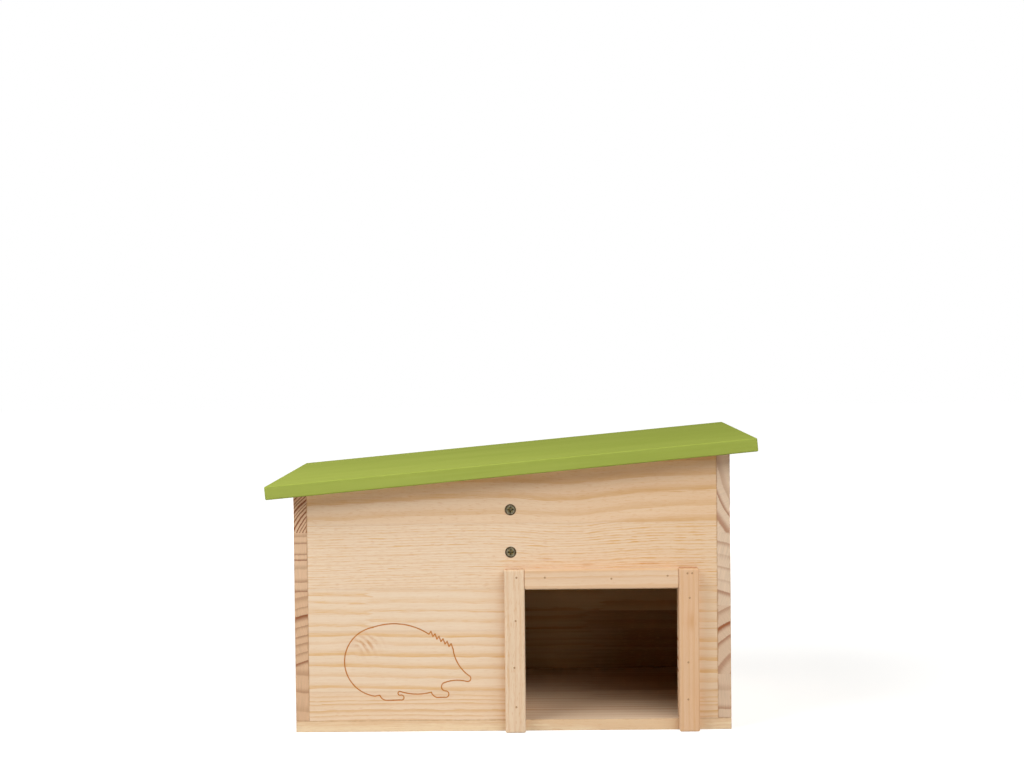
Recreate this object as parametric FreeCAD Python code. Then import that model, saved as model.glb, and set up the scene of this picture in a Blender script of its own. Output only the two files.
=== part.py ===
import FreeCAD, Part
import math
import os

from FreeCAD import Placement, Rotation, Vector

# Hedgehog house of pine boards with a painted roof that opens. Millimetres.
# X runs to the right, Y to the back and Z up. The origin is on the ground, under the middle of the house.

# House body
body_width = 390.0
body_depth = 260.0
left_height = 212.5  # top of the left wall's outer face
right_height = 247.5  # top of the right wall's outer face
wall_thickness = 12.0
floor_thickness = 10.0
board_rounding = 0.5

# Roof, a flat board with its ends cut square to its slope
roof_thickness = 12.0
roof_reach = 18.0  # past the body's front face, and past its back face
roof_side_reach = 23.5  # past the body's side faces, measured level
roof_rounding = 1.2

# Entrance, and the three strips that frame it
entrance_width = 137.0
entrance_right = 47.0  # from the opening to the body's right face
entrance_height = 118.0  # above the floor board
strip_width = 18.0
strip_thickness = 10.0
strip_rounding = 1.6

# Partition behind the entrance's left post, with a passage behind it
partition_thickness = 12.0
passage_width = 106.0  # between the partition and the back wall
partition_top_gap = 2.0

# Countersunk cross-head screws: shank and head radius, and length
visible_screw_radius = 2.5
visible_screw_head = 5.0
visible_screw_length = 40.0
body_screw_radius = 1.75
body_screw_head = 3.5
body_screw_length = 30.0
hinge_screw_radius = 1.5
hinge_screw_head = 2.8
hinge_screw_length = 10.0
screw_rim = 0.4  # height of the head's straight rim
screw_sink = 0.3  # depth of a head below its face
screw_clearance = 0.1  # between a screw and its hole, on the radius
recess_reach = 0.55  # length of each arm of the cross, and its depth, as parts of the head's radius
recess_arm = 0.11  # half the width of an arm, as a part of the head's radius
recess_taper = 0.5  # how much smaller the cross is at its foot

# Places of the screws
visible_screw_drop = 31.5  # from the partition's top to the upper one
visible_screw_spacing = 38.0
side_screw_count = 3  # in each corner of the body
side_screw_margin = 42.0  # from the floor's underside, and from the wall's top
floor_screw_margin = 50.0  # from a wall's end
partition_screw_margin = 28.0  # from the partition's ends

# Brads in the strips: shank and head radius, head height, bite into the wall
brad_radius = 0.6
brad_head = 0.9
brad_head_height = 0.8
brad_bite = 5.0
brad_sink = 0.5
brad_clearance = 0.05
# Each brad of a post: its offset to the right of the post's centre line, and its distance below the post's top
left_post_brads = ((2.0, 7.2), (0.8, 45.8), (-0.6, 87.6), (0.8, 122.8))
right_post_brads = ((-1.2, 4.6), (3.0, 4.6), (0.6, 26.4), (-1.0, 83.9), (-1.3, 117.0))
# Brads of the lintel: distance from its left end, middle and right end, and height above its centre line
lintel_brads = (("left", 18.2, 1.6), ("middle", 8.8, 0.2), ("right", 9.9, 2.4))

# Butt hinges between the back wall and the roof's rear overhang
hinge_length = 40.0
hinge_inset = 75.0  # from each side face of the body to a hinge's middle
hinge_edge_gap = 1.0  # from the roof leaf's free edge to the roof's rear edge
hinge_leaf_thickness = 1.2
hinge_knuckle_radius = 3.0
hinge_pin_radius = 1.5
hinge_knuckles = 5
hinge_gap = 0.3  # between a knuckle and whatever moves past it
hinge_bore_clearance = 0.05
hinge_corner = 2.0
hinge_screw_spacing = 24.0
hinge_screw_margin = 5.1  # from a leaf's free edge

# Hedgehog outline cut into the front wall
engraving_offset = 6.5  # its middle lies this far right of the middle between the left face and the left post
engraving_bottom = 27.5  # above the ground
engraving_line = 1.1
engraving_depth = 0.5
outline_start = (27.0, 4.6)
outline_rump = ((0.6, 30.0), (26.0, 66.6))
outline_crown = ((53.0, 69.0), (76.0, 60.0))
outline_brow = (97.5, 46.5)
outline_length = 113.0
outline_spines = 6
spine_height = 3.2
spine_lean = 0.05
# From the brow round by the nose, the front foot, the belly and the hind foot back to the start:
# an arc's middle and end, or a straight line's end
outline_face_and_feet = (
    ((101.6, 33.6), (111.2, 22.6)),
    ((113.0, 19.4), (109.6, 17.2)),
    ((99.0, 18.4), (88.6, 16.0)),
    ((86.9, 11.6), (90.6, 8.8)),
    ((93.2, 5.4), (89.4, 3.2)),
    ((82.6, 3.0),),
    ((79.6, 4.6), (77.6, 7.8)),
    ((63.0, 6.2), (49.2, 8.8)),
    ((47.8, 6.6), (50.2, 5.4)),
    ((53.0, 3.2), (50.2, 1.0)),
    ((38.0, 0.8),),
    ((33.6, 2.2), (31.4, 5.4)),
    ((27.0, 4.6),),
)

# Places that follow from the sizes above
left_face = -body_width / 2
right_face = body_width / 2
front_face = -body_depth / 2
back_face = body_depth / 2
slope = (right_height - left_height) / body_width
slope_angle = math.atan(slope)
opening_right = right_face - entrance_right
opening_left = opening_right - entrance_width
opening_top = floor_thickness + entrance_height
strip_top = opening_top + strip_width
partition_left = opening_left - strip_width
partition_middle = partition_left + partition_thickness / 2
partition_front = front_face + wall_thickness
partition_back = back_face - wall_thickness - passage_width
front_wall_middle = front_face + wall_thickness / 2
back_wall_middle = back_face - wall_thickness / 2
cut_margin = 1.0  # how far a cutting tool starts outside what it cuts

# The hinges are made level, with the roof's underside at Z = 0, and then brought to the roof's slope
pin_drop = hinge_knuckle_radius + hinge_gap
pin_y = back_face + pin_drop
leaf_reach = roof_reach - pin_drop - hinge_edge_gap  # from the pin's axis to a leaf's free edge
hinge_place = (body_width / 2 - hinge_inset) / math.cos(slope_angle)  # from the house's middle, along the slope


def roof_underside(x):
    """Height of the roof's underside at x."""
    return left_height + (x - left_face) * slope


def spaced(first, last, count):
    """Evenly spaced places from first to last."""
    step = (last - first) / (count - 1)
    return [first + step * number for number in range(count)]


def block(x0, x1, y0, y1, z0, z1):
    """Upright box between two corners."""
    return Part.makeBox(x1 - x0, y1 - y0, z1 - z0, Vector(x0, y0, z0))


def board_from_outline(points, y0, y1):
    """Board with an outline of (x, z) points, from y0 back to y1."""
    corners = [Vector(x, y0, z) for x, z in points]
    face = Part.Face(Part.makePolygon(corners + corners[:1]))
    return face.extrude(Vector(0, y1 - y0, 0))


def rounded(shape, radius, keep_sharp=None):
    """Shape with its edges rounded, apart from those that keep_sharp picks by their middle."""
    edges = []
    for edge in shape.Edges:
        middle = edge.valueAt((edge.FirstParameter + edge.LastParameter) / 2)
        if keep_sharp is None or not keep_sharp(middle):
            edges.append(edge)
    return shape.makeFillet(radius, edges)


def turned_profile(points):
    """Solid of revolution about Z from (radius, height) points that start and end on the axis."""
    corners = [Vector(radius, 0, height) for radius, height in points]
    face = Part.Face(Part.makePolygon(corners + corners[:1]))
    return face.revolve(Vector(0, 0, 0), Vector(0, 0, 1), 360)


def aimed(shape, place, direction):
    """Shape made along -Z from its head, moved to place and turned to drive in along direction."""
    copy = shape.copy()
    copy.Placement = Placement(place, Rotation(Vector(0, 0, -1), Vector(*direction)))
    return copy


def screw_body(radius, head, length, grow=0.0):
    """Countersunk screw without its recess, head face at Z = 0 and point down."""
    cone = head - radius
    point = radius * 2
    return turned_profile(
        (
            (0, grow),
            (head + grow, grow),
            (head + grow, -screw_rim),
            (radius + grow, -screw_rim - cone),
            (radius + grow, -length + point),
            (0, -length - grow),
        )
    )


def screw(radius, head, length):
    """Countersunk screw with a tapered cross recess."""
    arm = head * recess_arm
    reach = head * recess_reach
    foot_arm = arm * recess_taper
    foot_reach = reach * recess_taper
    made = screw_body(radius, head, length)
    mouth = (-reach, 0, -arm)
    foot = (-foot_arm, -foot_reach)
    for quarter in (0, 90):
        slot = Part.makeWedge(*mouth, *foot, reach, reach, arm, foot_arm, foot_reach)
        slot.rotate(Vector(0, 0, 0), Vector(1, 0, 0), -90)
        slot.rotate(Vector(0, 0, 0), Vector(0, 0, 1), quarter)
        made = made.cut(slot)
    return made


def screw_set(radius, head, length, seats):
    """Screws and the tools for their holes, one of each for every (face point, direction)."""
    made = screw(radius, head, length)
    hole = screw_body(radius, head, length, screw_clearance)
    mouth = Part.makeCylinder(head + screw_clearance, screw_sink + cut_margin)
    hole = hole.fuse(mouth)
    screws = []
    holes = []
    for point, direction in seats:
        head_face = Vector(*point) + Vector(*direction) * screw_sink
        screws.append(aimed(made, head_face, direction))
        holes.append(aimed(hole, head_face, direction))
    return screws, holes


def brad_set(seats):
    """Brads driven in along +Y and the tools for their holes, for every (x, z) on the strips' front."""
    length = strip_thickness + brad_bite
    made = turned_profile(
        (
            (0, 0),
            (brad_head, 0),
            (brad_head, -brad_head_height),
            (brad_radius, -brad_head_height),
            (brad_radius, -length + brad_sink + brad_radius),
            (0, -length + brad_sink),
        )
    )
    grown_head = brad_head + brad_clearance
    grown_shank = brad_radius + brad_clearance
    hole = turned_profile(
        (
            (0, brad_sink + cut_margin),
            (grown_head, brad_sink + cut_margin),
            (grown_head, -brad_head_height - brad_clearance),
            (grown_shank, -brad_head_height - brad_clearance),
            (grown_shank, -length + brad_sink + brad_radius),
            (0, -length + brad_sink - brad_clearance),
        )
    )
    inwards = (0, 1, 0)
    head_y = front_face - strip_thickness + brad_sink
    places = [Vector(x, head_y, z) for x, z in seats]
    return [aimed(made, place, inwards) for place in places], [aimed(hole, place, inwards) for place in places]


def drilled(shape, holes):
    """Shape without the holes that reach it."""
    box = shape.BoundBox
    reached = [hole for hole in holes if hole.BoundBox.intersect(box)]
    return shape.cut(reached) if reached else shape


def side_wall_seats(outer_face, inwards, height):
    """Seats of the screws through a side wall into the front and back walls' ends."""
    heights = spaced(side_screw_margin, height - side_screw_margin, side_screw_count)
    seats = []
    for y in (front_wall_middle, back_wall_middle):
        for z in heights:
            seats.append(((outer_face, y, z), (inwards, 0, 0)))
    return seats


def floor_seats():
    """Seats of the screws through the floor into the four walls' lower edges."""
    up = (0, 0, 1)
    inner_left = left_face + wall_thickness
    inner_right = right_face - wall_thickness
    seats = []
    for x in spaced(inner_left + floor_screw_margin, partition_left - floor_screw_margin / 2, 2):
        seats.append(((x, front_wall_middle, 0), up))
    seats.append((((opening_right + inner_right) / 2, front_wall_middle, 0), up))
    for x in spaced(inner_left + floor_screw_margin, inner_right - floor_screw_margin, 3):
        seats.append(((x, back_wall_middle, 0), up))
    for x in (left_face + wall_thickness / 2, right_face - wall_thickness / 2):
        for y in (front_face + floor_screw_margin, back_face - floor_screw_margin):
            seats.append(((x, y, 0), up))
    return seats


def partition_floor_seats():
    """Seats of the screws through the floor into the partition."""
    ends = (partition_front + partition_screw_margin, partition_back - partition_screw_margin)
    return [((partition_middle, y, 0), (0, 0, 1)) for y in ends]


def partition_front_seats():
    """Seats of the two visible screws through the front wall into the partition."""
    upper = roof_underside(partition_middle) - visible_screw_drop
    heights = (upper, upper - visible_screw_spacing)
    return [((partition_middle, front_face, z), (0, 1, 0)) for z in heights]


def hedgehog_groove():
    """Tool for the outline's groove, a ribbon of even width round the hedgehog."""
    left = (left_face + partition_left) / 2 + engraving_offset - outline_length / 2

    def at(point):
        return Vector(left + point[0], front_face - cut_margin, engraving_bottom + point[1])

    def add_arc(edges, start, middle, end):
        edges.append(Part.Arc(at(start), at(middle), at(end)).toShape())

    edges = []
    add_arc(edges, outline_start, *outline_rump)
    add_arc(edges, outline_rump[1], *outline_crown)
    first = outline_crown[1]
    step = ((outline_brow[0] - first[0]) / outline_spines, (outline_brow[1] - first[1]) / outline_spines)
    tall = spine_height / math.hypot(*step)
    out = (step[0] * spine_lean - step[1] * tall, step[1] * spine_lean + step[0] * tall)
    corner = first
    for number in range(outline_spines):
        tip = (corner[0] + out[0], corner[1] + out[1])
        root = (first[0] + step[0] * (number + 1), first[1] + step[1] * (number + 1))
        edges.append(Part.makeLine(at(corner), at(tip)))
        edges.append(Part.makeLine(at(tip), at(root)))
        corner = root
    for points in outline_face_and_feet:
        if len(points) == 2:
            add_arc(edges, corner, *points)
        else:
            edges.append(Part.makeLine(at(corner), at(points[0])))
        corner = points[-1]
    line = Part.Wire(edges)
    outer = Part.Face(line.makeOffset2D(engraving_line / 2))
    inner = Part.Face(line.makeOffset2D(-engraving_line / 2))
    ribbon = outer.cut(inner)
    return ribbon.extrude(Vector(0, cut_margin + engraving_depth, 0))


def floor_board(holes):
    shape = block(left_face, right_face, front_face, back_face, 0, floor_thickness)
    return drilled(rounded(shape, board_rounding), holes)


def side_wall(outer_face, inner_face, holes):
    x0 = min(outer_face, inner_face)
    x1 = max(outer_face, inner_face)
    outline = ((x0, floor_thickness), (x1, floor_thickness), (x1, roof_underside(x1)), (x0, roof_underside(x0)))
    return drilled(rounded(board_from_outline(outline, front_face, back_face), board_rounding), holes)


def front_wall(holes):
    x0 = left_face + wall_thickness
    x1 = right_face - wall_thickness
    outline = (
        (x0, floor_thickness),
        (opening_left, floor_thickness),
        (opening_left, opening_top),
        (opening_right, opening_top),
        (opening_right, floor_thickness),
        (x1, floor_thickness),
        (x1, roof_underside(x1)),
        (x0, roof_underside(x0)),
    )
    shape = board_from_outline(outline, front_face, front_face + wall_thickness)

    def below_or_in_opening(middle):
        return x0 + board_rounding < middle.x < x1 - board_rounding and middle.z < opening_top + board_rounding

    shape = rounded(shape, board_rounding, below_or_in_opening)
    return drilled(shape.cut(hedgehog_groove()), holes)


def back_wall(holes):
    x0 = left_face + wall_thickness
    x1 = right_face - wall_thickness
    outline = ((x0, floor_thickness), (x1, floor_thickness), (x1, roof_underside(x1)), (x0, roof_underside(x0)))
    shape = board_from_outline(outline, back_face - wall_thickness, back_face)
    return drilled(rounded(shape, board_rounding), holes)


def partition(holes):
    x0 = partition_left
    x1 = partition_left + partition_thickness
    right_top = roof_underside(x1) - partition_top_gap
    left_top = roof_underside(x0) - partition_top_gap
    outline = ((x0, floor_thickness), (x1, floor_thickness), (x1, right_top), (x0, left_top))
    return drilled(rounded(board_from_outline(outline, partition_front, partition_back), board_rounding), holes)


def entrance_strip(x0, x1, z0, z1, holes):
    shape = block(x0, x1, front_face - strip_thickness, front_face, z0, z1)
    return drilled(rounded(shape, strip_rounding), holes)


def on_roof_slope(shape):
    """Shape made level round the middle of the roof's underside, brought to its slope and height."""
    middle_x = math.sin(slope_angle) * roof_thickness / 2  # centres the sloping board over the origin
    turn = Rotation(Vector(0, 1, 0), -math.degrees(slope_angle))
    copy = shape.copy()
    copy.Placement = Placement(Vector(middle_x, 0, roof_underside(middle_x)), turn).multiply(shape.Placement)
    return copy


def roof_board(holes):
    end_overhang = roof_thickness / 2 * math.sin(slope_angle)  # of one end's lower or upper corner
    half = (body_width / 2 + roof_side_reach - end_overhang) / math.cos(slope_angle)
    shape = block(-half, half, front_face - roof_reach, back_face + roof_reach, 0, roof_thickness)
    return drilled(on_roof_slope(rounded(shape, roof_rounding)), holes)


def knuckle_spans(middle, first):
    """Ends along X of every second knuckle of a hinge, from number first."""
    pitch = hinge_length / hinge_knuckles
    start = middle - hinge_length / 2
    spans = []
    for number in range(first, hinge_knuckles, 2):
        x0 = start + pitch * number
        x1 = x0 + pitch
        if number > 0:
            x0 += hinge_gap / 2
        if number < hinge_knuckles - 1:
            x1 -= hinge_gap / 2
        spans.append((x0, x1))
    return spans


def rod(x0, x1, radius):
    """Cylinder along the hinge's pin."""
    return Part.makeCylinder(radius, x1 - x0, Vector(x0, pin_y, -pin_drop), Vector(1, 0, 0))


def hinge_leaf(plate, own_spans, other_spans):
    """Leaf with its own knuckles, cut clear of the other leaf's."""
    shape = plate
    for x0, x1 in other_spans:
        shape = shape.cut(rod(x0 - hinge_gap, x1 + hinge_gap, hinge_knuckle_radius + hinge_gap))
    for x0, x1 in own_spans:
        shape = shape.fuse(rod(x0, x1, hinge_knuckle_radius))
    bore_start = own_spans[0][0] - cut_margin
    bore_end = own_spans[-1][1] + cut_margin
    shape = shape.cut(rod(bore_start, bore_end, hinge_pin_radius + hinge_bore_clearance))
    return shape.removeSplitter()


def with_round_corners(plate, at_corner):
    """Hinge plate with the short edges rounded that at_corner picks by their middle."""
    short = [edge for edge in plate.Edges if edge.Length < 2 * hinge_leaf_thickness]
    picked = [edge for edge in short if at_corner(edge.CenterOfMass)]
    return plate.makeFillet(hinge_corner, picked)


def hinge(middle):
    """Wall leaf, roof leaf, pin, and both leaves' screws and holes, for the hinge at middle along the slope."""
    x0 = middle - hinge_length / 2
    x1 = middle + hinge_length / 2
    wall_spans = knuckle_spans(middle, 0)
    roof_spans = knuckle_spans(middle, 1)
    free_z = -pin_drop - leaf_reach
    free_y = pin_y + leaf_reach
    wall_plate = block(x0, x1, back_face, back_face + hinge_leaf_thickness, free_z, -pin_drop)
    wall_plate = with_round_corners(wall_plate, lambda middle_point: middle_point.z < free_z + hinge_gap)
    roof_plate = block(x0, x1, pin_y, free_y, -hinge_leaf_thickness, 0)
    roof_plate = with_round_corners(roof_plate, lambda middle_point: middle_point.y > free_y - hinge_gap)

    wall_seats = []
    roof_seats = []
    for x in (middle - hinge_screw_spacing / 2, middle + hinge_screw_spacing / 2):
        wall_seats.append(((x, back_face + hinge_leaf_thickness, free_z + hinge_screw_margin), (0, -1, 0)))
        roof_seats.append(((x, free_y - hinge_screw_margin, -hinge_leaf_thickness), (0, 0, 1)))
    sizes = (hinge_screw_radius, hinge_screw_head, hinge_screw_length)
    wall_screws, wall_holes = screw_set(*sizes, wall_seats)
    roof_screws, roof_holes = screw_set(*sizes, roof_seats)
    wall_leaf = drilled(hinge_leaf(wall_plate, wall_spans, roof_spans), wall_holes)
    roof_leaf = drilled(hinge_leaf(roof_plate, roof_spans, wall_spans), roof_holes)
    pieces = {
        "wall_leaf": [wall_leaf],
        "roof_leaf": [roof_leaf],
        "pin": [rod(x0, x1, hinge_pin_radius)],
        "wall_screws": wall_screws,
        "roof_screws": roof_screws,
        "wall_holes": wall_holes,
        "roof_holes": roof_holes,
    }
    return {name: [on_roof_slope(shape) for shape in shapes] for name, shapes in pieces.items()}


def build():
    """Every sub-part under its node's name."""
    body_sizes = (body_screw_radius, body_screw_head, body_screw_length)
    visible_sizes = (visible_screw_radius, visible_screw_head, visible_screw_length)
    left_screws, left_holes = screw_set(*body_sizes, side_wall_seats(left_face, 1, left_height))
    right_screws, right_holes = screw_set(*body_sizes, side_wall_seats(right_face, -1, right_height))
    floor_screws, floor_holes = screw_set(*body_sizes, floor_seats())
    foot_screws, foot_holes = screw_set(*body_sizes, partition_floor_seats())
    visible_screws, visible_holes = screw_set(*visible_sizes, partition_front_seats())

    left_axis = opening_left - strip_width / 2
    right_axis = opening_right + strip_width / 2
    lintel_axis = opening_top + strip_width / 2
    measured_from = {
        "left": (opening_left, 1),
        "middle": ((opening_left + opening_right) / 2, 1),
        "right": (opening_right, -1),
    }
    lintel_seats = []
    for place, along, up in lintel_brads:
        start, sign = measured_from[place]
        lintel_seats.append((start + sign * along, lintel_axis + up))
    left_seats = [(left_axis + dx, strip_top - drop) for dx, drop in left_post_brads]
    left_nails, left_nail_holes = brad_set(left_seats)
    right_seats = [(right_axis + dx, strip_top - drop) for dx, drop in right_post_brads]
    right_nails, right_nail_holes = brad_set(right_seats)
    lintel_nails, lintel_nail_holes = brad_set(lintel_seats)
    nail_holes = left_nail_holes + right_nail_holes + lintel_nail_holes

    left_hinge = hinge(-hinge_place)
    right_hinge = hinge(hinge_place)
    hinge_wall_holes = left_hinge["wall_holes"] + right_hinge["wall_holes"]
    hinge_roof_holes = left_hinge["roof_holes"] + right_hinge["roof_holes"]

    wall_holes = left_holes + right_holes + floor_holes
    left_post_place = (opening_left - strip_width, opening_left, 0, strip_top)
    right_post_place = (opening_right, opening_right + strip_width, 0, strip_top)
    lintel_place = (opening_left, opening_right, opening_top, strip_top)
    nodes = {
        "floor_board": floor_board(floor_holes + foot_holes),
        "front_wall": front_wall(wall_holes + visible_holes + nail_holes),
        "back_wall": back_wall(wall_holes + hinge_wall_holes),
        "left_wall": side_wall(left_face, left_face + wall_thickness, wall_holes),
        "right_wall": side_wall(right_face, right_face - wall_thickness, wall_holes),
        "partition": partition(foot_holes + visible_holes),
        "entrance_left_post": entrance_strip(*left_post_place, left_nail_holes),
        "entrance_right_post": entrance_strip(*right_post_place, right_nail_holes),
        "entrance_lintel": entrance_strip(*lintel_place, lintel_nail_holes),
        "roof_board": roof_board(hinge_roof_holes),
        "left_wall_screws": Part.makeCompound(left_screws),
        "right_wall_screws": Part.makeCompound(right_screws),
        "floor_screws": Part.makeCompound(floor_screws),
        "partition_floor_screws": Part.makeCompound(foot_screws),
        "partition_front_screws": Part.makeCompound(visible_screws),
        "left_post_brads": Part.makeCompound(left_nails),
        "right_post_brads": Part.makeCompound(right_nails),
        "lintel_brads": Part.makeCompound(lintel_nails),
    }
    for side, pieces in (("left", left_hinge), ("right", right_hinge)):
        for name in ("wall_leaf", "roof_leaf", "pin", "wall_screws", "roof_screws"):
            nodes[side + "_hinge_" + name] = Part.makeCompound(pieces[name])
    return nodes


def main():
    os.makedirs("parts", exist_ok=True)
    for name, shape in build().items():
        shape.exportStep("parts/" + name + ".step")
        print(name, len(shape.Solids), shape.isValid(), round(shape.Volume, 1))


main()
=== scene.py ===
import math
import random

import bpy
from mathutils import Matrix, Vector


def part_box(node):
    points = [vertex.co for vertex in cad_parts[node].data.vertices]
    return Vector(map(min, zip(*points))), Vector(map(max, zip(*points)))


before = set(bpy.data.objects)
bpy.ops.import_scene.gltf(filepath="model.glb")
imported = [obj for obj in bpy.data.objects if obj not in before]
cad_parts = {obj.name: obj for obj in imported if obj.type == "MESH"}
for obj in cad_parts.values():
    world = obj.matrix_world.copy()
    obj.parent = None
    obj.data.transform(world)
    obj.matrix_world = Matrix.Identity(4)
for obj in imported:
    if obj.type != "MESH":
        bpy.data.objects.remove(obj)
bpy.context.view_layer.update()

print("frame loaded:", len(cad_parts), "nodes")


# Small helpers for shader trees

def srgb(red, green, blue):
    # screen colour, 0 to 255, as the linear values that sockets take
    def linear(value):
        value = value / 255
        return value / 12.92 if value <= 0.04045 else ((value + 0.055) / 1.055) ** 2.4
    return (linear(red), linear(green), linear(blue), 1.0)


class ShaderBench:
    # adds nodes to one tree; a value is either a number or another node's socket
    def __init__(self, tree):
        self.tree = tree

    def feed(self, socketShade, value):
        if isinstance(value, bpy.types.NodeSocket):
            self.tree.links.new(value, socketShade)
        elif value is not None:
            socketShade.default_value = value

    def add(self, kind, feeds=None, **settings):
        node = self.tree.nodes.new("ShaderNode" + kind)
        for name, value in settings.items():
            setattr(node, name, value)
        for name, value in (feeds or {}).items():
            self.feed(node.inputs[name], value)
        return node

    def calc(self, operation, *values, clamp=False):
        node = self.add("Math", operation=operation, use_clamp=clamp)
        for number, value in enumerate(values):
            self.feed(node.inputs[number], value)
        return node.outputs[0]

    def times(self, first, second, clamp=False):
        return self.calc("MULTIPLY", first, second, clamp=clamp)

    def vector(self, operation, *values):
        node = self.add("VectorMath", operation=operation)
        for number, value in enumerate(values):
            self.feed(node.inputs[number], value)
        return node.outputs[1 if operation in ("LENGTH", "DOT_PRODUCT", "DISTANCE") else 0]

    def combine(self, x, y, z):
        return self.add("CombineXYZ", {0: x, 1: y, 2: z}).outputs[0]

    def split(self, vector):
        return self.add("SeparateXYZ", {0: vector}).outputs

    def ease(self, value, low, high, fromValue=0.0, toValue=1.0):
        # smooth step from fromValue at low to toValue at high
        node = self.add("MapRange", {0: value, 1: low, 2: high, 3: fromValue, 4: toValue})
        node.interpolation_type = "SMOOTHSTEP"
        return node.outputs[0]

    def rescale(self, value, low, high, fromValue, toValue):
        return self.add("MapRange", {0: value, 1: low, 2: high, 3: fromValue, 4: toValue}).outputs[0]

    def fromNoise(self, value, fromValue, toValue):
        # noise lies mostly between 0.3 and 0.7
        return self.rescale(value, 0.3, 0.7, fromValue, toValue)

    def noise(self, vector, scale=1.0, detail=2.0, roughness=0.5, distortion=0.0):
        feeds = {"Vector": vector, "Scale": scale, "Detail": detail, "Roughness": roughness, "Distortion": distortion}
        return self.add("TexNoise", feeds).outputs

    def mix(self, factor, first, second, blend="MIX"):
        node = self.add("Mix", data_type="RGBA", blend_type=blend)
        self.feed(node.inputs[0], factor)
        self.feed(node.inputs[6], first)
        self.feed(node.inputs[7], second)
        return node.outputs[2]

    def ramp(self, factor, stops, interpolation="CONSTANT"):
        node = self.add("ValToRGB", {0: factor})
        elements = node.color_ramp.elements
        node.color_ramp.interpolation = interpolation
        while len(elements) < len(stops):
            elements.new(1.0)
        for element, (place, colour) in zip(elements, stops):
            element.position = place
            element.color = colour
        return node

    def group(self, tree, feeds):
        node = self.add("Group")
        node.node_tree = tree
        for name, value in feeds.items():
            self.feed(node.inputs[name], value)
        return node.outputs


def startMaterial(name):
    material = bpy.data.materials.new(name)
    material.use_nodes = True
    material.node_tree.nodes.clear()
    return material, ShaderBench(material.node_tree)


def finishSurface(bench, colour, roughness, relief, bump, feeds):
    # relief is the surface's height in metres, which shows as bump
    raised = bench.add("Bump", {"Height": relief, "Distance": 1.0, "Strength": bump})
    feeds = {"Base Color": colour, "Roughness": roughness, "Normal": raised.outputs[0], **feeds}
    bench.add("OutputMaterial", {0: bench.add("BsdfPrincipled", feeds).outputs[0]})


def startGroup(name, inputs, outputs):
    tree = bpy.data.node_groups.new(name, "ShaderNodeTree")
    for label, kind, value in inputs:
        socketShade = tree.interface.new_socket(label, in_out="INPUT", socket_type="NodeSocket" + kind)
        if value is not None:
            socketShade.default_value = value
    for label, kind in outputs:
        tree.interface.new_socket(label, in_out="OUTPUT", socket_type="NodeSocket" + kind)
    bench = ShaderBench(tree)
    return bench, tree.nodes.new("NodeGroupInput").outputs, tree.nodes.new("NodeGroupOutput").inputs


# Noise that the grain is drawn with: repeats per metre along and across the grain, detail, roughness
grainNoise = {
    "wander": (5.0, 9.0, 1.0, 0.5), "ripple": (26.0, 60.0, 2.0, 0.5), "tremble": (130.0, 420.0, 1.0, 0.5),
    "fray": (34.0, 1250.0, 2.0, 0.6), "streak": (14.0, 520.0, 3.0, 0.6), "fibre": (70.0, 2100.0, 4.0, 0.6),
    "cloud": (4.0, 22.0, 2.0, 0.5), "duct": (150.0, 1500.0, 1.0, 0.5), "dash": (62.0, 760.0, 1.0, 0.5),
}
rippleWidth, trembleWidth = 0.0018, 0.0007  # metres
wanderReach = 3.0  # times a stave's wave
seedStride = 3.7  # metres along the grain from one seed's wood to the next
rayRepeats = (260.0, 60.0, 200.0)  # round the pith, out from it and along it
ductRange, dashRange = (0.57, 0.68), (0.43, 0.60)
# One year's ring, 0 to 1 outward: its late wood sets in slowly and ends sharply
ringYear = {"lateFrom": 0.30, "lateFull": 0.88, "endFrom": 0.90, "contrast": 1.3, "weakest": 0.5,
            "widthRate": 0.55, "widthSpread": 1.5}


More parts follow.
